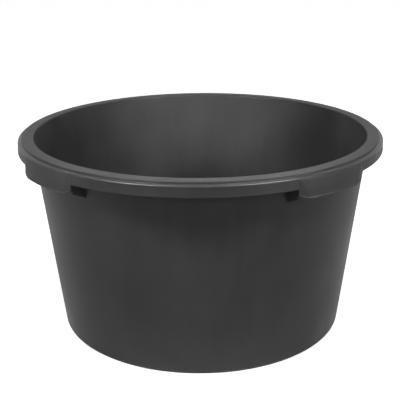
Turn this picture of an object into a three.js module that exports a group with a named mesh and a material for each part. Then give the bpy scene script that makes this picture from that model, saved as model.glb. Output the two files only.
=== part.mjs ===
// Round mortar mixing tub, 90 litre class, injection moulded in black polyethylene.
// Units are millimetres, +Z is up, and the origin is on the floor under the centre of the base.
// The tub is one moulding. Each of its members is a mesh of its own: the base, the rounded heel,
// the conical wall, the stepped rim deck, the rim skirts, the four grips and the ribs that
// close each grip's finger gap.

import * as THREE from "three";

// The four sides, counter-clockwise from +X, and the corner that follows each of them.
const SIDES = ["right", "back", "left", "front"];
const CORNERS = ["back_right", "back_left", "front_left", "front_right"];

// Overall sizes
const HEIGHT = 365; // floor to the top of the rim
const RIM_RADIUS = 335; // outside of the rim skirt's lower edge, between the grips
const BASE_RADIUS = 266; // where the wall's outer face would meet the floor
const WALL = 4; // thickness of the moulding all over

// Base and heel
const HEEL_ROUND = 8; // radius of the outer edge at the floor
const HEEL_FILLET = 6; // radius inside, between floor and wall
const FOOT_WIDTH = 25; // flat ring the tub stands on, inside the heel's round
const PANEL_LAP = 7; // how far the base panel lies over the foot ring
const PANEL_CHAMFER = 1.5; // slope at the panel's upper edge

// Rim deck, from the mouth outwards
const DECK_WIDTH = 21.5; // flat band on top of the rim
const SHOULDER_WIDTH = 7.5; // lower band, from the step to the outside of the rim
const MOUTH_ROUND = 2; // radius of the mouth's upper edge
const STEP_DROP = 4; // step from the flat band down to the shoulder
const STEP_ROUND = 1.2; // radius of the step's upper edge
const SHOULDER_FALL = 0.5; // slope of the shoulder, from the step to its outer round
const SHOULDER_ROUND = 2.6; // radius from the shoulder to the skirt

// Skirts and grips, measured down from the top of the rim
const SKIRT_DEPTH = 24; // lower edge of the skirt between the grips
const SKIRT_DRAFT = THREE.MathUtils.degToRad(2.1); // the skirts widen downwards
const GRIP_ANGLE = THREE.MathUtils.degToRad(25.4); // width of one grip, seen from the axis
const GRIP_DEPTH = 41.5; // lower edge of a grip
const GRIP_PROUD = 2.5; // a grip's face stands out this much from the skirt
const GRIP_SHOULDER = 13; // length of the round from a grip's end to its face
const GRIP_CORNER = 6; // radius of a grip's lower corners
const RIB_THICKNESS = 4;
const RIB_SLOPE = 12.5; // a rib reaches this much lower at the wall than at the grip

const FIT_GAP = 0.3; // clearance between members that meet on a curved or upright face

const TUB_BLACK = 0x2a2a2b;
const TUB_ROUGHNESS = 0.48;

// Fineness of the curved faces
const RING_SEGMENTS = 96;
const ROUND_DIVISIONS = 2; // a small round has twice as many steps
const SKIRT_SEGMENTS = 17;
const GRIP_SEGMENTS = 6; // along the plain middle of a grip
const GRIP_END_SEGMENTS = 6; // along the round at each end

// Sizes that follow
const STEP_RADIUS = RIM_RADIUS - SHOULDER_WIDTH;
const MOUTH_RADIUS = STEP_RADIUS - DECK_WIDTH;
const WALL_SLOPE = (MOUTH_RADIUS + WALL - BASE_RADIUS) / HEIGHT;
const DRAFT = Math.atan(WALL_SLOPE);
const DECK_UNDERSIDE = HEIGHT - WALL;
const SHOULDER_UNDERSIDE = DECK_UNDERSIDE - STEP_DROP;
const SKIRT_FLARE = Math.tan(SKIRT_DRAFT); // widening for each millimetre down
const SKIRT_TOP_RADIUS = RIM_RADIUS - SKIRT_FLARE * (SHOULDER_UNDERSIDE - HEIGHT + SKIRT_DEPTH);
const HEEL_HEIGHT = Math.max(HEEL_ROUND, WALL + HEEL_FILLET); // the plain wall starts here
const FOOT_RADIUS = BASE_RADIUS - HEEL_ROUND;
const FOOT_INNER_RADIUS = FOOT_RADIUS - FOOT_WIDTH;
const PANEL_UNDERSIDE = WALL; // the panel lies on the foot ring
const GRIP_SPACING = (2 * Math.PI) / SIDES.length;

const wallOuterRadius = (z) => BASE_RADIUS + WALL_SLOPE * z;
const wallInnerRadius = (z) => wallOuterRadius(z) - WALL;

// Every mesh has a material of its own: satin black polyethylene.
function namedMesh(name, geometry) {
  const material = new THREE.MeshStandardMaterial({
    color: TUB_BLACK,
    roughness: TUB_ROUGHNESS,
    metalness: 0,
  });
  const mesh = new THREE.Mesh(geometry, material);
  mesh.name = name;
  return mesh;
}

// Centre, across the radius, of a round that touches the wall line with its outermost side.
function roundCentreRadius(lineRadius, z, round) {
  return lineRadius + WALL_SLOPE * z - round / Math.cos(DRAFT);
}

// The points of a profile, without repeats where its lines and arcs meet.
function profilePoints(path) {
  const apart = 1e-3;
  return path
    .getPoints(ROUND_DIVISIONS)
    .filter((point, i, all) => i === 0 || point.distanceTo(all[i - 1]) > apart);
}

// A solid of revolution about Z. The profile holds radius and height, and runs up its outer side.
function turned(points) {
  return new THREE.LatheGeometry(points, RING_SEGMENTS).rotateX(Math.PI / 2);
}

function turnedRing(path) {
  const points = profilePoints(path);
  return turned([...points, points[0]]);
}

// A curved bar round the Z axis. Each station has an angle and a section of radius and height,
// and every section has as many points as the others, counter-clockwise.
function curvedBar(stations) {
  const size = stations[0].section.length;
  const positions = stations.flatMap(({ angle, section }) =>
    section.flatMap((p) => [p.x * Math.cos(angle), p.x * Math.sin(angle), p.y]),
  );
  const index = [];
  for (let s = 0; s + 1 < stations.length; s++) {
    for (let i = 0; i < size; i++) {
      const here = s * size + i;
      const next = s * size + ((i + 1) % size);
      index.push(here, here + size, next, next, here + size, next + size);
    }
  }
  const lastStart = (stations.length - 1) * size;
  const firstCap = THREE.ShapeUtils.triangulateShape(stations[0].section, []);
  const lastCap = THREE.ShapeUtils.triangulateShape(stations.at(-1).section, []);
  for (const [a, b, c] of firstCap) index.push(a, b, c);
  for (const [a, b, c] of lastCap) index.push(lastStart + a, lastStart + c, lastStart + b);
  const geometry = new THREE.BufferGeometry();
  geometry.setAttribute("position", new THREE.Float32BufferAttribute(positions, 3));
  geometry.setIndex(index);
  return geometry;
}

// Angles from one limit to another in equal steps, both limits included.
function spread(from, to, steps) {
  return Array.from({ length: steps + 1 }, (_, i) => from + ((to - from) * i) / steps);
}

// Section of a skirt that hangs from the shoulder, widens downwards and ends in a round lip.
function skirtSection(topRadius, depth) {
  const lip = new THREE.Path();
  const round = WALL / 2;
  const lipHeight = HEIGHT - depth;
  const lipRadius = topRadius + SKIRT_FLARE * (SHOULDER_UNDERSIDE - lipHeight);
  lip.absarc(lipRadius - round, lipHeight + round, round, -Math.PI, 0, false);
  return [
    ...lip.getPoints(ROUND_DIVISIONS),
    new THREE.Vector2(topRadius, SHOULDER_UNDERSIDE),
    new THREE.Vector2(topRadius - WALL, SHOULDER_UNDERSIDE),
  ];
}

function basePanel() {
  const radius = FOOT_INNER_RADIUS + PANEL_LAP;
  const top = PANEL_UNDERSIDE + WALL;
  return turned([
    new THREE.Vector2(0, PANEL_UNDERSIDE),
    new THREE.Vector2(radius, PANEL_UNDERSIDE),
    new THREE.Vector2(radius, top - PANEL_CHAMFER),
    new THREE.Vector2(radius - PANEL_CHAMFER, top),
    new THREE.Vector2(0, top),
  ]);
}

function heelRing() {
  const outerCentre = roundCentreRadius(BASE_RADIUS, HEEL_ROUND, HEEL_ROUND);
  const filletHeight = PANEL_UNDERSIDE + HEEL_FILLET;
  const innerCentre = roundCentreRadius(BASE_RADIUS - WALL, filletHeight, HEEL_FILLET);
  const profile = new THREE.Path();
  profile.moveTo(FOOT_INNER_RADIUS, 0);
  profile.lineTo(outerCentre, 0);
  profile.absarc(outerCentre, HEEL_ROUND, HEEL_ROUND, -Math.PI / 2, -DRAFT, false);
  profile.lineTo(wallOuterRadius(HEEL_HEIGHT), HEEL_HEIGHT);
  profile.lineTo(wallInnerRadius(HEEL_HEIGHT), HEEL_HEIGHT);
  profile.absarc(innerCentre, filletHeight, HEEL_FILLET, -DRAFT, -Math.PI / 2, true);
  profile.lineTo(FOOT_INNER_RADIUS, PANEL_UNDERSIDE);
  return turnedRing(profile);
}

function wallShell() {
  const profile = new THREE.Path();
  profile.moveTo(wallInnerRadius(HEEL_HEIGHT), HEEL_HEIGHT);
  profile.lineTo(wallOuterRadius(HEEL_HEIGHT), HEEL_HEIGHT);
  profile.lineTo(wallOuterRadius(DECK_UNDERSIDE), DECK_UNDERSIDE);
  profile.lineTo(wallInnerRadius(DECK_UNDERSIDE), DECK_UNDERSIDE);
  return turnedRing(profile);
}

function rimDeck() {
  const shoulderEdge = HEIGHT - STEP_DROP - SHOULDER_FALL;
  const profile = new THREE.Path();
  profile.moveTo(wallInnerRadius(DECK_UNDERSIDE), DECK_UNDERSIDE);
  profile.lineTo(STEP_RADIUS - WALL, DECK_UNDERSIDE);
  profile.lineTo(STEP_RADIUS - WALL, SHOULDER_UNDERSIDE);
  profile.lineTo(SKIRT_TOP_RADIUS, SHOULDER_UNDERSIDE);
  profile.absarc(
    SKIRT_TOP_RADIUS - SHOULDER_ROUND, shoulderEdge - SHOULDER_ROUND, SHOULDER_ROUND,
    0, Math.PI / 2, false,
  );
  profile.lineTo(STEP_RADIUS, HEIGHT - STEP_DROP);
  profile.absarc(
    STEP_RADIUS - STEP_ROUND, HEIGHT - STEP_ROUND, STEP_ROUND,
    0, Math.PI / 2, false,
  );
  profile.absarc(
    MOUTH_RADIUS + MOUTH_ROUND, HEIGHT - MOUTH_ROUND, MOUTH_ROUND,
    Math.PI / 2, Math.PI, false,
  );
  return turnedRing(profile);
}

// The skirt from one grip to the next, centred half-way between them.
function rimSkirt() {
  const endGap = FIT_GAP / RIM_RADIUS;
  const half = (GRIP_SPACING - GRIP_ANGLE) / 2 - endGap;
  const section = skirtSection(SKIRT_TOP_RADIUS, SKIRT_DEPTH);
  return curvedBar(
    spread(-half, half, SKIRT_SEGMENTS).map((angle) => ({ angle, section })),
  );
}

// Height of a quarter round at a distance from its foot: 0 there, and the full rise at its length.
function quarterRound(distance, length, rise) {
  const left = 1 - Math.min(distance / length, 1);
  return rise * Math.sqrt(1 - left * left);
}

// One grip, centred on +X: a deeper skirt that stands out from the rim between rounded ends.
function grip() {
  const half = GRIP_ANGLE / 2;
  const roundAngle = GRIP_SHOULDER / RIM_RADIUS;
  // The end's steps are small at the start of the round, where it rises fast.
  const endAngles = spread(0, Math.PI / 2, GRIP_END_SEGMENTS).map(
    (turn) => half - roundAngle * (1 - Math.cos(turn)),
  );
  const faceHalf = half - roundAngle;
  const angles = [
    ...endAngles.map((angle) => -angle),
    ...spread(-faceHalf, faceHalf, GRIP_SEGMENTS).slice(1, -1),
    ...endAngles.toReversed(),
  ];
  return curvedBar(
    angles.map((angle) => {
      const fromEnd = (half - Math.abs(angle)) * RIM_RADIUS;
      const proud = quarterRound(fromEnd, GRIP_SHOULDER, GRIP_PROUD);
      const depth = GRIP_DEPTH - GRIP_CORNER + quarterRound(fromEnd, GRIP_CORNER, GRIP_CORNER);
      return { angle, section: skirtSection(SKIRT_TOP_RADIUS + proud, depth) };
    }),
  );
}

// A rib that closes one end of a finger gap, from the wall to the inside of the grip.
function gripRib() {
  const lowerEdge = HEIGHT - GRIP_DEPTH;
  const wallEdge = lowerEdge - RIB_SLOPE;
  const innerAt = (z) => wallOuterRadius(z) + FIT_GAP;
  const gripInside = SKIRT_TOP_RADIUS - WALL - FIT_GAP;
  const stepInside = STEP_RADIUS - WALL - FIT_GAP;
  const outline = new THREE.Shape();
  outline.moveTo(innerAt(wallEdge), wallEdge);
  outline.lineTo(gripInside, lowerEdge);
  outline.lineTo(gripInside, SHOULDER_UNDERSIDE);
  outline.lineTo(stepInside, SHOULDER_UNDERSIDE);
  outline.lineTo(stepInside, DECK_UNDERSIDE);
  outline.lineTo(innerAt(DECK_UNDERSIDE), DECK_UNDERSIDE);
  const plate = new THREE.ExtrudeGeometry(outline, {
    depth: RIB_THICKNESS,
    bevelEnabled: false,
  });
  return plate.translate(0, 0, -RIB_THICKNESS / 2).rotateX(Math.PI / 2);
}

// A grip with its two ribs, turned to its side of the tub.
function gripGroup(side, turn) {
  const group = new THREE.Group();
  group.rotation.z = turn;
  group.add(namedMesh(`grip_${side}`, grip()));
  const ribAngle = GRIP_ANGLE / 2 - RIB_THICKNESS / 2 / RIM_RADIUS;
  for (const [end, angle] of [["first", -ribAngle], ["second", ribAngle]]) {
    const rib = namedMesh(`grip_${side}_${end}_rib`, gripRib());
    rib.rotation.z = angle;
    group.add(rib);
  }
  return group;
}

const tub = new THREE.Group();
tub.add(
  namedMesh("base_panel", basePanel()),
  namedMesh("heel_ring", heelRing()),
  namedMesh("wall_shell", wallShell()),
  namedMesh("rim_deck", rimDeck()),
);
SIDES.forEach((side, i) => {
  const turn = i * GRIP_SPACING;
  tub.add(gripGroup(side, turn));
  const skirt = namedMesh(`rim_skirt_${CORNERS[i]}`, rimSkirt());
  skirt.rotation.z = turn + GRIP_SPACING / 2;
  tub.add(skirt);
});

export default tub;
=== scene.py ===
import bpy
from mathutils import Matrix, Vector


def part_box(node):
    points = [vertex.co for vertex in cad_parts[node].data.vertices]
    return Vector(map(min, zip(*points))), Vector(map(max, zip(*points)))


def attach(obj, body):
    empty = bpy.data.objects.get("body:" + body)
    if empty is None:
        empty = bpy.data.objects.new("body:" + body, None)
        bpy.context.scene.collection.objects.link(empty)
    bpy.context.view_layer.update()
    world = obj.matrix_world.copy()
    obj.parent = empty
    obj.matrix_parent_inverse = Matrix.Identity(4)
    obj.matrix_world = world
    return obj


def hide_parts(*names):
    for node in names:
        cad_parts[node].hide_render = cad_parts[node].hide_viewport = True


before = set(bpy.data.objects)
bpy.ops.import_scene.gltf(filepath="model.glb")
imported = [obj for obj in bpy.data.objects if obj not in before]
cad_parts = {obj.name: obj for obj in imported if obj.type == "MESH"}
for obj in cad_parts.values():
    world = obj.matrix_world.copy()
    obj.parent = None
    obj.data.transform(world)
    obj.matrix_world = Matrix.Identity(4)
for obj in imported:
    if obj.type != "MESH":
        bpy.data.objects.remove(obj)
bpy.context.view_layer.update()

# Round mortar mixing tub, moulded in black polyethylene. Metres, +Z up, origin on the floor under
# the centre of the base. Each member of the moulding is a piece that replaces its CAD node, and
# neighbours meet edge to edge, so that together they look like the one moulding that the tub is.

import math

import bmesh
import bpy
from mathutils import Matrix, Vector

MM = 0.001
SIDES = ["right", "back", "left", "front"]
CORNERS = ["back_right", "back_left", "front_left", "front_right"]
GRIP_SPACING = math.tau / len(SIDES)

# Sizes from the frame
DECK_LOW, DECK_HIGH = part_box("rim_deck")
WALL_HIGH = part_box("wall_shell")[1]
HEEL_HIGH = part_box("heel_ring")[1]
PANEL_LOW, PANEL_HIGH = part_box("base_panel")
HEIGHT = DECK_HIGH.z
WALL = PANEL_HIGH.z - PANEL_LOW.z
HEEL_TOP = HEEL_HIGH.z
DECK_UNDERSIDE = WALL_HIGH.z
SHOULDER_UNDERSIDE = DECK_LOW.z
SKIRT_TOP_RADIUS = DECK_HIGH.x
SKIRT_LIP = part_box("rim_skirt_back_right")[0].z
GRIP_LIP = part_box("grip_right")[0].z
RIB_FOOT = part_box("grip_right_first_rib")[0].z
WALL_SLOPE = (WALL_HIGH.x - HEEL_HIGH.x) / (WALL_HIGH.z - HEEL_HIGH.z)
PANEL_RADIUS = PANEL_HIGH.x

# Sizes inside the members
DRAFT = math.atan(WALL_SLOPE)
HEEL_ROUND = 8 * MM
HEEL_FILLET = 6 * MM
FOOT_WIDTH = 25 * MM
STEP_RADIUS = 327.5 * MM
STEP_ROUND = 1.2 * MM
STEP_FILLET = 0.8 * MM
MOUTH_RADIUS = 306 * MM
MOUTH_ROUND = 2 * MM
STEP_DROP = DECK_UNDERSIDE - SHOULDER_UNDERSIDE
SHOULDER_FALL = 0.5 * MM
SHOULDER_TILT = 6
SHOULDER_ROUND = 2.6 * MM
SKIRT_FLARE = math.tan(math.radians(2.1))
GRIP_ANGLE = math.radians(25.4)
GRIP_PROUD = 2.5 * MM
GRIP_PROUD_AT_TOP = 0.28
GRIP_SLANT = 22 * MM
GRIP_CORNER = 6 * MM
GRIP_BEAD = 0.9 * MM
RIB_THICKNESS = 4 * MM
RIB_ROUND = 0.8 * MM

# Fineness of the mesh
RING_SEGMENTS = 288
ARC_STEPS = 8
WALL_ROWS = 48
GRIP_FACE_STEPS = 18
GRIP_END_STEPS = 26


def wall_outside(z):
    return WALL_HIGH.x + WALL_SLOPE * (z - WALL_HIGH.z)


def wall_inside(z):
    return wall_outside(z) - WALL


def spread(start, end, steps):
    return [start + (end - start) * i / steps for i in range(steps + 1)]


def arc(centre, radius, start, end, steps=ARC_STEPS):
    """Points of an arc in radius and height; angles in degrees, 0 outwards and 90 up."""
    turns = [math.radians(a) for a in spread(start, end, steps)]
    return [(centre[0] + radius * math.cos(a), centre[1] + radius * math.sin(a)) for a in turns]


def curve(start, control, end, steps=ARC_STEPS):
    """Points of a quadratic curve that leaves start and reaches end along lines to control."""
    def at(t):
        weights = (1 - t) ** 2, 2 * t * (1 - t), t * t
        return tuple(
            weights[0] * a + weights[1] * b + weights[2] * c
            for a, b, c in zip(start, control, end)
        )
    return [at(t) for t in spread(0, 1, steps)]


# Mesh building

SHARP_ANGLE = math.radians(28)
WELD = 0.004 * MM


def piece_from(name, bm, node):
    """Makes a shaded piece of a bmesh, in the place of its CAD node."""
    bmesh.ops.remove_doubles(bm, verts=bm.verts, dist=WELD)
    bmesh.ops.dissolve_degenerate(bm, edges=bm.edges, dist=WELD)
    bmesh.ops.recalc_face_normals(bm, faces=bm.faces)
    for face in bm.faces:
        face.smooth = True
    for edge in bm.edges:
        edge.smooth = not edge.is_manifold or edge.calc_face_angle() < SHARP_ANGLE
    mesh = bpy.data.meshes.new(name)
    bm.to_mesh(mesh)
    bm.free()
    piece = bpy.data.objects.new(name, mesh)
    bpy.context.scene.collection.objects.link(piece)
    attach(piece, "root")
    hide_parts(node)
    return piece


def loft(bm, sections, closed):
    """Joins sections, which are equal lists of points, side by side, and caps the ends."""
    rows = [[bm.verts.new(point) for point in section] for section in sections]
    size = len(rows[0])
    pairs = list(zip(rows, rows[1:])) + ([(rows[-1], rows[0])] if closed else [])
    for here, there in pairs:
        for i in range(size):
            j = (i + 1) % size
            bm.faces.new((here[i], there[i], there[j], here[j]))
    if not closed:
        bm.faces.new(rows[0])
        bm.faces.new(reversed(rows[-1]))


def around(section, angle):
    """A section of radius and height, stood up at an angle round the axis."""
    return [(r * math.cos(angle), r * math.sin(angle), z) for r, z in section]


def ring(name, profile, node, shift=lambda angle, z: 0):
    """A closed profile turned round the axis. shift moves a point in or out a little."""
    angles = [(i + 0.5) * math.tau / RING_SEGMENTS for i in range(RING_SEGMENTS)]
    bm = bmesh.new()
    sections = [around([(r + shift(a, z), z) for r, z in profile], a) for a in angles]
    loft(bm, sections, closed=True)
    return piece_from(name, bm, node)


# Base and wall

def base_panel():
    """The raised floor. Its edge slopes down to the foot ring, and a gate mark is underneath."""
    top, under = PANEL_HIGH.z, PANEL_LOW.z
    edge = PANEL_RADIUS
    slope_start = edge - 2.2 * WALL
    hub = 0.05 * MM
    gate, gate_round, gate_drop, gate_root = 5 * MM, 0.6 * MM, 1.2 * MM, 0.4 * MM
    dish, dish_slope, dish_depth = 22 * MM, 4 * MM, 0.8 * MM
    groove_half, groove_depth = 1 * MM, 0.25 * MM

    under_side = [(hub, under - gate_drop)]
    gate_corner = (gate - gate_round, under - gate_drop + gate_round)
    under_side += arc(gate_corner, gate_round, -90, 0, steps=4)
    under_side += [(gate, under + gate_root), (dish - dish_slope, under + dish_depth)]
    under_side += [(dish, under)]
    for radius in (0.42 * edge, 0.74 * edge):
        under_side += [(radius - groove_half, under), (radius, under + groove_depth)]
        under_side += [(radius + groove_half, under)]
    under_side += [(edge, under)]
    s_curve = [
        (edge + (slope_start - edge) * t, under + (top - under) * (3 * t * t - 2 * t ** 3))
        for t in spread(0, 1, 10)[1:]
    ]
    top_side = [(r, top) for r in (0.75 * edge, 0.5 * edge, 0.25 * edge, hub)]
    return ring("tub_base_panel", under_side + s_curve + top_side, "base_panel")


def heel():
    """The foot ring, the round edge at the floor and the fillet inside."""
    base_radius = wall_outside(0)
    outer = base_radius + WALL_SLOPE * HEEL_ROUND - HEEL_ROUND / math.cos(DRAFT)
    fillet_z = WALL + HEEL_FILLET
    inner = base_radius - WALL + WALL_SLOPE * fillet_z - HEEL_FILLET / math.cos(DRAFT)
    foot_inside = base_radius - HEEL_ROUND - FOOT_WIDTH
    tilt = math.degrees(DRAFT)
    foot_round = 1.5 * MM
    profile = arc((foot_inside + foot_round, foot_round), foot_round, 180, 270, steps=4)
    profile += arc((outer, HEEL_ROUND), HEEL_ROUND, -90, -tilt, steps=12)
    profile += [(wall_outside(HEEL_TOP), HEEL_TOP), (wall_inside(HEEL_TOP), HEEL_TOP)]
    profile += arc((inner, fillet_z), HEEL_FILLET, -tilt, -90, steps=10)
    profile += [(foot_inside, WALL)]
    return ring("tub_heel", profile, "heel_ring")


def wall():
    """The conical wall. It is a little out of true, as a large thin moulding is."""
    heights = spread(HEEL_TOP, DECK_UNDERSIDE, WALL_ROWS)
    profile = [(wall_outside(z), z) for z in heights]
    profile += [(wall_inside(z), z) for z in reversed(heights)]
    span = DECK_UNDERSIDE - HEEL_TOP
    # How many waves go round the wall, their size in millimetres, and where they start
    waves = [(2, 0.28, 0.6), (3, 0.16, 2.1), (5, 0.09, 4.4), (8, 0.04, 1.3)]
    twist = 1.7

    def out_of_true(angle, z):
        share = (z - HEEL_TOP) / span
        fade = math.sin(math.pi * share) ** 2
        return fade * MM * sum(
            size * math.sin(count * angle + start + twist * share) for count, size, start in waves
        )

    return ring("tub_wall", profile, "wall_shell", out_of_true)


# Rim, skirts and grips

SHOULDER_CENTRE = (
    SKIRT_TOP_RADIUS - SHOULDER_ROUND,
    HEIGHT - STEP_DROP - SHOULDER_FALL - SHOULDER_ROUND,
)


def rim_deck():
    """The flat band round the mouth, the step down from it and the shoulder outside."""
    shoulder_z = HEIGHT - STEP_DROP
    profile = [
        (wall_inside(DECK_UNDERSIDE), DECK_UNDERSIDE),
        (STEP_RADIUS - WALL, DECK_UNDERSIDE),
        (STEP_RADIUS - WALL, SHOULDER_UNDERSIDE),
        (SKIRT_TOP_RADIUS, SHOULDER_UNDERSIDE),
    ]
    profile += arc(SHOULDER_CENTRE, SHOULDER_ROUND, 0, 90 - SHOULDER_TILT)
    fillet = (STEP_RADIUS + STEP_FILLET, shoulder_z + STEP_FILLET)
    profile += arc(fillet, STEP_FILLET, 270 - SHOULDER_TILT, 180, steps=6)
    profile += arc((STEP_RADIUS - STEP_ROUND, HEIGHT - STEP_ROUND), STEP_ROUND, 0, 90, steps=6)
    profile += arc((MOUTH_RADIUS + MOUTH_ROUND, HEIGHT - MOUTH_ROUND), MOUTH_ROUND, 90, 180)
    return ring("tub_rim_deck", profile, "rim_deck")


def skirt_section(proud, lip_z, bead=0):
    """Section of a skirt: a round lip, the outer face, a blend up to the shoulder, the inside.

    proud gives how far the face stands out, by how far it has come down from the shoulder, where
    1 is the level of the lip between the grips. bead is how far the lip stands out of the face.
    The further the face stands out at the top, the further down and up the blend reaches.
    """
    depth = SHOULDER_UNDERSIDE - SKIRT_LIP
    neck, neck_bend = 1.6 * MM, 0.6 * MM
    blend_drop, blend_drop_growth, blend_reach = 0.9, 2.6, 64
    tuck_in, tuck_up = 1 * MM, 0.6 * MM
    inner_fillet = 1.5 * MM

    def face(z):
        down = SHOULDER_UNDERSIDE - z
        return SKIRT_TOP_RADIUS + SKIRT_FLARE * down + proud(max(down / depth, 0))

    lip_round = WALL / 2 + bead / 2
    lip_centre = (face(lip_z) + bead - lip_round, lip_z + lip_round)
    section = arc(lip_centre, lip_round, -180, 0, 2 * ARC_STEPS)
    neck_z = lip_centre[1] + neck
    lip_out = section[-1]
    section += curve(lip_out, (lip_out[0], neck_z - neck_bend), (face(neck_z), neck_z))[1:]
    share = proud(0) / GRIP_PROUD
    foot_z = SHOULDER_CENTRE[1] - (blend_drop + blend_drop_growth * share) * MM
    section += [(face(z), z) for z in spread(neck_z, foot_z, 10)[1:-1]]
    reach = math.radians(blend_reach * share)
    blend_top = (
        SHOULDER_CENTRE[0] + SHOULDER_ROUND * math.cos(reach),
        SHOULDER_CENTRE[1] + SHOULDER_ROUND * math.sin(reach),
    )
    least_reach = 0.01
    corner_z = blend_top[1] - (face(foot_z) - blend_top[0]) / math.tan(max(reach, least_reach))
    section += curve((face(foot_z), foot_z), (face(foot_z), max(corner_z, foot_z)), blend_top)
    section += [(blend_top[0] - tuck_in, SHOULDER_UNDERSIDE + tuck_up)]
    inside = face(SHOULDER_UNDERSIDE) - WALL
    inner_corner = (inside - inner_fillet, SHOULDER_UNDERSIDE - inner_fillet)
    section += arc(inner_corner, inner_fillet, 90, 0, steps=4)
    return section


def rim_skirt(corner, middle):
    """The skirt between two grips."""
    half = (GRIP_SPACING - GRIP_ANGLE) / 2
    steps = round(2 * half / math.tau * RING_SEGMENTS)
    section = skirt_section(lambda down: 0, SKIRT_LIP)
    bm = bmesh.new()
    loft(bm, [around(section, middle + a) for a in spread(-half, half, steps)], closed=False)
    return piece_from(f"tub_skirt_{corner}", bm, f"rim_skirt_{corner}")


def bow(distance, length, power):
    """0 at the end of a grip, 1 from a length on, and a bow between that is steep at first."""
    return 1 - (1 - min(distance / length, 1)) ** power


def grip(side, middle):
    """A grip: a deeper skirt. It comes out of the rim on the way down, between slanted ends."""
    half = GRIP_ANGLE / 2
    slant_angle = GRIP_SLANT / SKIRT_TOP_RADIUS
    slant_at_top, slant_growth = 3 * MM, 9 * MM
    ends = [half - slant_angle * t ** 1.5 for t in spread(0, 1, GRIP_END_STEPS)]
    face_angles = spread(-ends[-1], ends[-1], GRIP_FACE_STEPS)[1:-1]
    angles = [-a for a in ends] + face_angles + ends[::-1]
    bm = bmesh.new()
    sections = []
    for angle in angles:
        from_end = (half - abs(angle)) * SKIRT_TOP_RADIUS

        def proud(down):
            slant = slant_at_top + slant_growth * down
            share = GRIP_PROUD_AT_TOP + (1 - GRIP_PROUD_AT_TOP) * min(down, 1)
            return GRIP_PROUD * share * bow(from_end, slant, power=1.2)

        lip = GRIP_LIP + GRIP_CORNER * (1 - bow(from_end, GRIP_SLANT, power=1.5))
        bead = GRIP_BEAD * bow(from_end, GRIP_CORNER, power=2)
        sections.append(around(skirt_section(proud, lip, bead), middle + angle))
    loft(bm, sections, closed=False)
    return piece_from(f"tub_grip_{side}", bm, f"grip_{side}")


def rib(side, end, angle):
    """A plate that closes one end of a finger gap, with its lower edge rounded over."""
    bite = 0.5 * MM
    grip_inside = SKIRT_TOP_RADIUS - WALL + bite
    outline = [
        (wall_outside(RIB_FOOT) - bite, RIB_FOOT),
        (grip_inside, GRIP_LIP + bite),
        (grip_inside, SHOULDER_UNDERSIDE + bite),
        (STEP_RADIUS - WALL, SHOULDER_UNDERSIDE + bite),
        (STEP_RADIUS - WALL, DECK_UNDERSIDE + bite),
        (wall_outside(DECK_UNDERSIDE) - bite, DECK_UNDERSIDE + bite),
    ]
    bm = bmesh.new()
    half = RIB_THICKNESS / 2
    loft(bm, [[(r, y, z) for r, z in outline] for y in (-half, half)], closed=False)
    lower = [e for e in bm.edges if all(v.co.z < GRIP_LIP + MM for v in e.verts)]
    bmesh.ops.bevel(bm, geom=lower, offset=RIB_ROUND, segments=4, affect="EDGES", profile=0.5)
    bm.transform(Matrix.Rotation(angle, 4, "Z"))
    name = f"grip_{side}_{end}_rib"
    return piece_from(f"tub_{name}", bm, name)


# Material

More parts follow.
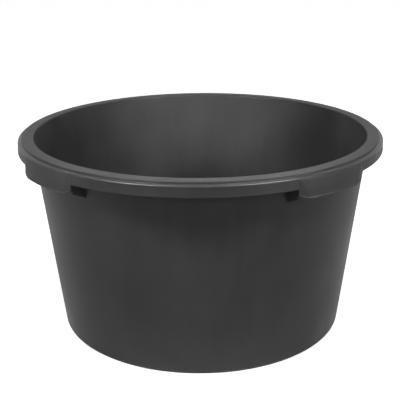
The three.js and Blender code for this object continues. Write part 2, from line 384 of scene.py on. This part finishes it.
def black_polyethylene():
    """Moulded black polyethylene: a satin skin with fine grain, faint clouds and flow marks."""
    material = bpy.data.materials.new("black_polyethylene")
    material.use_nodes = True
    nodes, links = material.node_tree.nodes, material.node_tree.links
    shader = nodes["Principled BSDF"]
    shader.inputs["IOR"].default_value = 1.5
    shader.inputs["Specular IOR Level"].default_value = 0.18
    place = nodes.new("ShaderNodeTexCoord").outputs["Object"]

    def noise(scale, detail, roughness=0.5, vector=place):
        node = nodes.new("ShaderNodeTexNoise")
        node.inputs["Scale"].default_value = scale
        node.inputs["Detail"].default_value = detail
        node.inputs["Roughness"].default_value = roughness
        links.new(vector, node.inputs["Vector"])
        return node.outputs["Fac"]

    def ramp(value, low, high, start, end):
        node = nodes.new("ShaderNodeMapRange")
        node.inputs["From Min"].default_value = low
        node.inputs["From Max"].default_value = high
        node.inputs["To Min"].default_value = start
        node.inputs["To Max"].default_value = end
        links.new(value, node.inputs["Value"])
        return node.outputs["Result"]

    def maths(operation, a, b):
        node = nodes.new("ShaderNodeMath")
        node.operation = operation
        for socket, value in zip(node.inputs, (a, b)):
            if isinstance(value, (int, float)):
                socket.default_value = value
            else:
                links.new(value, socket)
        return node.outputs["Value"]

    # Flow marks run up and down the wall: noise squeezed along the height.
    stretch = nodes.new("ShaderNodeMapping")
    stretch.inputs["Scale"].default_value = (1, 1, 0.12)
    links.new(place, stretch.inputs["Vector"])
    streaks = noise(45, 4, 0.55, stretch.outputs["Vector"])
    clouds = noise(9, 3)
    grain = noise(900, 2)
    peel = noise(160, 2)

    tone = maths("ADD", maths("MULTIPLY", clouds, 0.65), maths("MULTIPLY", streaks, 0.35))
    tone_range = (0.35, 0.65)
    colours = nodes.new("ShaderNodeMixRGB")
    colours.inputs["Color1"].default_value = (0.0085, 0.0085, 0.0088, 1)
    colours.inputs["Color2"].default_value = (0.0185, 0.0185, 0.0190, 1)
    links.new(ramp(tone, *tone_range, 0, 1), colours.inputs["Fac"])
    links.new(colours.outputs["Color"], shader.inputs["Base Color"])

    satin = ramp(tone, *tone_range, 0.49, 0.60)
    rough = maths("ADD", satin, ramp(grain, 0.3, 0.7, -0.02, 0.03))

    # Hands and tools burnish the shoulder of the rim, so it is smoother than the rest.
    burnish = 0.2
    split = nodes.new("ShaderNodeSeparateXYZ")
    links.new(place, split.inputs["Vector"])
    up = ramp(split.outputs["Z"], SHOULDER_UNDERSIDE, SHOULDER_CENTRE[1], 0, 1)
    down = ramp(split.outputs["Z"], HEIGHT - STEP_DROP, HEIGHT - STEP_DROP + MM, 1, 0)
    rough = maths("SUBTRACT", rough, maths("MULTIPLY", maths("MULTIPLY", up, down), burnish))
    links.new(rough, shader.inputs["Roughness"])

    height = maths("ADD", maths("MULTIPLY", grain, 0.35), maths("MULTIPLY", peel, 0.65))
    bump = nodes.new("ShaderNodeBump")
    bump.inputs["Strength"].default_value = 0.25
    bump.inputs["Distance"].default_value = 0.15 * MM
    links.new(height, bump.inputs["Height"])
    links.new(bump.outputs["Normal"], shader.inputs["Normal"])
    return material


# Scene

FLOOR_HALF = 40
CLIP_END = 120

# The camera's place, aim and lens follow the photograph's view.
RIM_RADIUS = SKIRT_TOP_RADIUS + SKIRT_FLARE * (SHOULDER_UNDERSIDE - SKIRT_LIP)
CAMERA_AZIMUTH = math.radians(50.4)
CAMERA_ABOVE_RIM = 1.1425 * RIM_RADIUS
CAMERA_FROM_AXIS = 4.559 * RIM_RADIUS
CAMERA_PITCH = math.radians(18.918)
CAMERA_ROLL = math.radians(-0.477)
CAMERA_YAW = math.radians(0.053)
LENS = 75.74
SENSOR = 36


def add_camera():
    camera = bpy.data.objects.new("camera", bpy.data.cameras.new("camera"))
    camera.data.lens = LENS
    camera.data.sensor_width = SENSOR
    camera.data.clip_end = CLIP_END
    turn = Matrix.Rotation(CAMERA_AZIMUTH, 4, "Z")
    place = turn @ Vector((0, -CAMERA_FROM_AXIS, HEIGHT + CAMERA_ABOVE_RIM))
    aim = (
        Matrix.Rotation(CAMERA_AZIMUTH + CAMERA_YAW, 4, "Z")
        @ Matrix.Rotation(math.pi / 2 - CAMERA_PITCH, 4, "X")
        @ Matrix.Rotation(CAMERA_ROLL, 4, "Z")
    )
    camera.matrix_world = Matrix.Translation(place) @ aim
    bpy.context.scene.collection.objects.link(camera)
    bpy.context.scene.camera = camera


def seen_ray(nodes, links):
    """1 for rays that see the background: from the camera, or mirrored in the tub."""
    path = nodes.new("ShaderNodeLightPath")
    total = path.outputs["Is Camera Ray"]
    for name in ("Is Glossy Ray", "Is Transmission Ray"):
        add = nodes.new("ShaderNodeMath")
        add.operation = "MAXIMUM"
        links.new(total, add.inputs[0])
        links.new(path.outputs[name], add.inputs[1])
        total = add.outputs["Value"]
    return total


def add_world(dim):
    """Even grey light; the background itself shows white."""
    world = bpy.data.worlds.new("studio")
    world.use_nodes = True
    nodes, links = world.node_tree.nodes, world.node_tree.links
    background = nodes["Background"]
    background.inputs["Color"].default_value = (1, 1, 1, 1)
    strength = nodes.new("ShaderNodeMapRange")
    strength.inputs["To Min"].default_value = dim
    strength.inputs["To Max"].default_value = 1
    links.new(seen_ray(nodes, links), strength.inputs["Value"])
    links.new(strength.outputs["Result"], background.inputs["Strength"])
    bpy.context.scene.world = world


def add_floor(glow):
    """A pale floor. Its glow, seen by the camera and in gloss, matches the backdrop's white."""
    mesh = bpy.data.meshes.new("floor")
    half = FLOOR_HALF
    corners = [(-half, -half, 0), (half, -half, 0), (half, half, 0), (-half, half, 0)]
    mesh.from_pydata(corners, [], [(0, 1, 2, 3)])
    floor = bpy.data.objects.new("floor", mesh)
    bpy.context.scene.collection.objects.link(floor)
    material = bpy.data.materials.new("pale_floor")
    material.use_nodes = True
    nodes, links = material.node_tree.nodes, material.node_tree.links
    shader = nodes["Principled BSDF"]
    shader.inputs["Base Color"].default_value = (0.86, 0.86, 0.86, 1)
    shader.inputs["Roughness"].default_value = 0.9
    shader.inputs["Specular IOR Level"].default_value = 0.1
    shader.inputs["Emission Color"].default_value = (1, 1, 1, 1)
    strength = nodes.new("ShaderNodeMapRange")
    strength.inputs["To Max"].default_value = glow
    links.new(seen_ray(nodes, links), strength.inputs["Value"])
    links.new(strength.outputs["Result"], shader.inputs["Emission Strength"])
    mesh.materials.append(material)


def add_lamp(name, place, target, size, power, spread=180):
    """A softbox, from the tub's foot in metres to the camera's right, away from it and up.

    target is measured in the same way. spread is in degrees, and is small for a softbox with a
    grid in front of it.
    """
    turn = Matrix.Rotation(CAMERA_AZIMUTH, 4, "Z")
    place, target = turn @ Vector(place), turn @ Vector(target)
    lamp = bpy.data.lights.new(name, "AREA")
    lamp.shape = "RECTANGLE"
    lamp.size, lamp.size_y = size
    lamp.energy = power
    lamp.spread = math.radians(spread)
    holder = bpy.data.objects.new(name, lamp)
    holder.location = place
    holder.visible_camera = False
    holder.rotation_euler = (target - place).to_track_quat("-Z", "Y").to_euler()
    bpy.context.scene.collection.objects.link(holder)


# Build

pieces = [base_panel(), heel(), wall(), rim_deck()]
RIB_ANGLE = GRIP_ANGLE / 2 - RIB_THICKNESS / 2 / SKIRT_TOP_RADIUS
for index, (side, corner) in enumerate(zip(SIDES, CORNERS)):
    middle = index * GRIP_SPACING
    pieces.append(grip(side, middle))
    pieces.append(rib(side, "first", middle - RIB_ANGLE))
    pieces.append(rib(side, "second", middle + RIB_ANGLE))
    pieces.append(rim_skirt(corner, middle + GRIP_SPACING / 2))

polyethylene = black_polyethylene()
for piece in pieces:
    piece.data.materials.append(polyethylene)

add_camera()
add_world(dim=0.12)
add_floor(glow=0.86)
for name, side in (("left", -1), ("right", 1)):
    # The outer wall, from the front
    add_lamp(
        f"front_{name}",
        place=(0.35 * side, -2.15, 1.4), target=(0, 0, 0.3), size=(0.25, 0.25), power=6.8,
    )
    # The outer wall's edges, and the rim, from behind
    add_lamp(
        f"back_{name}",
        place=(1.9 * side, 1.2, 1.8), target=(0, 0, 0.3), size=(0.8, 0.8), power=6.5,
    )
    # The middle of the inner wall
    add_lamp(
        f"mouth_{name}",
        place=(0.25 * side, -0.3, 0.75), target=(0.1 * side, 0.3, 0.3), size=(0.25, 0.15),
        power=4,
    )
    # The highlight along the front of the rim's shoulder
    add_lamp(
        f"rim_{name}",
        place=(0.44 * side, -0.52, 0.9), target=(0.11 * side, -0.31, 0.36), size=(0.2, 0.2),
        power=0.34, spread=20,
    )
    # The top of the inner wall, over the front of the rim
    add_lamp(
        f"grid_{name}",
        place=(1.5 * side, -1.6, 1.05), target=(0, 0.28, 0.33), size=(0.3, 0.3),
        power=0.68, spread=18,
    )

bpy.context.scene.view_settings.view_transform = "Standard"
